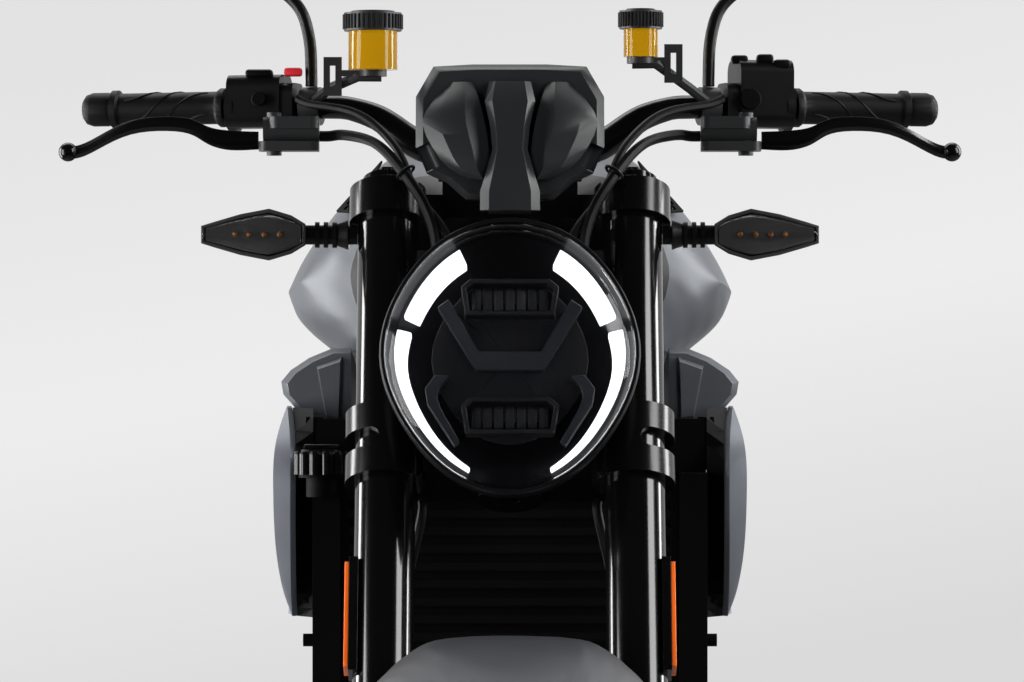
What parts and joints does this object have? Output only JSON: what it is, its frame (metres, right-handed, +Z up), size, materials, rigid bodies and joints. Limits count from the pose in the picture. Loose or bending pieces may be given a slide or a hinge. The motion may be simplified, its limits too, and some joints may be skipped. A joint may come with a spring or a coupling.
{
  "type": "standard motorcycle",
  "caption": "Naked roadster motorcycle with an open V-twin engine, twin-tube fork, egg-shaped headlight and side stand, parked leaning on the stand.",
  "frame": {"origin": "on the floor under the middle of the parked machine", "axes": "+Z up, the nose towards -Y, the rider's left towards +X; the machine leans to +X on its stand"},
  "size_m": [0.8559, 2.0889, 1.3538],
  "materials": {
    "tyre": "matte",
    "black_metal": "satin",
    "disc_steel": "machined",
    "chrome_leg": "polished",
    "black_plastic": "grained",
    "rubber": "matte",
    "amber_fluid": "translucent",
    "mirror": "mirror",
    "smoke_lens": "gloss",
    "light_strip": "lit",
    "paint": "matte lacquer",
    "display": "gloss",
    "orange": "prismatic",
    "clear_lens": "gloss",
    "seat": "grained",
    "red_lens": "gloss",
    "exhaust_steel": "heat tinted",
    "dark_cast": "cast",
    "steel": "oiled",
    "grille": "mesh"
  },
  "bodies": {
    "chassis": {"front_frame": "black_metal", "engine_case": "dark_cast", "engine_covers": "dark_cast", "cylinders": "dark_cast", "radiator": "dark_cast", "radiator_liners": "black_plastic", "radiator_shrouds": "paint", "intake_panels": "paint", "airbox": "black_plastic", "fuel_tank": "paint", "tank_grilles": "grille", "seats": "seat", "tail_unit": "black_plastic", "tail_lights": "red_lens", "plate_holder": "black_plastic", "exhaust_pipes": "exhaust_steel", "silencer": "black_metal", "footrests": "black_metal", "swingarm": "black_metal", "rear_shock": "black_metal", "drive_chain": "steel", "rear_caliper": "dark_cast"},
    "steering": {"fork_feet": "black_metal", "fork_legs": "chrome_leg", "fork_tubes": "black_metal", "lower_yoke": "black_metal", "upper_yoke": "black_metal", "handlebar": "black_metal", "grips": "rubber", "switch_housings": "black_plastic", "master_cylinders": "black_metal", "levers": "black_metal", "fluid_jars": "amber_fluid", "mirrors": "black_plastic", "mirror_glass": "mirror", "headlight_shell": "black_plastic", "headlight_optics": "black_plastic", "headlight_trim": "dark_cast", "light_guides": "light_strip", "headlight_lens": "smoke_lens", "instrument_cowl": "black_plastic", "instrument_display": "display", "front_indicators": "black_plastic", "front_indicator_lenses": "clear_lens", "front_mudguard": "paint", "front_calipers": "dark_cast", "fork_reflectors": "orange", "front_hoses": "rubber"},
    "front_wheel": {"front_tyre": "tyre", "front_rim": "black_metal", "front_discs": "disc_steel"},
    "rear_wheel": {"rear_tyre": "tyre", "rear_rim": "black_metal", "rear_sprocket": "steel", "rear_disc": "disc_steel"},
    "side_stand": {"side_stand": "black_metal"},
    "fuel_cap": {"fuel_cap": "black_metal"}
  },
  "joints": [
    {"name": "steering_turn", "type": "hinge", "parent": "chassis", "child": "steering", "pos_m": [-0.05344, -0.4511, 0.85605], "axis": [0.1586, 0.4067, 0.8997], "range_deg": [-33, 33]},
    {"name": "front_wheel_spin", "type": "hinge", "parent": "steering", "child": "front_wheel", "pos_m": [-0.15205, -0.7445, 0.29681], "axis": [0.9848, 0, -0.1736], "continuous": true},
    {"name": "rear_wheel_spin", "type": "hinge", "parent": "chassis", "child": "rear_wheel", "pos_m": [-0.14944, 0.7295, 0.31158], "axis": [0.9848, 0, -0.1736], "continuous": true},
    {"name": "stand_fold", "type": "hinge", "parent": "chassis", "child": "side_stand", "pos_m": [-0.03757, -0.0095, 0.19742], "axis": [0.8103, -0.0561, 0.5833], "range_deg": [0, 96]},
    {"name": "fuel_cap_hinge", "type": "hinge", "parent": "chassis", "child": "fuel_cap", "pos_m": [-0.01516, -0.1855, 1.07313], "axis": [0.9848, 0, -0.1736], "range_deg": [0, 95]}
  ]
}
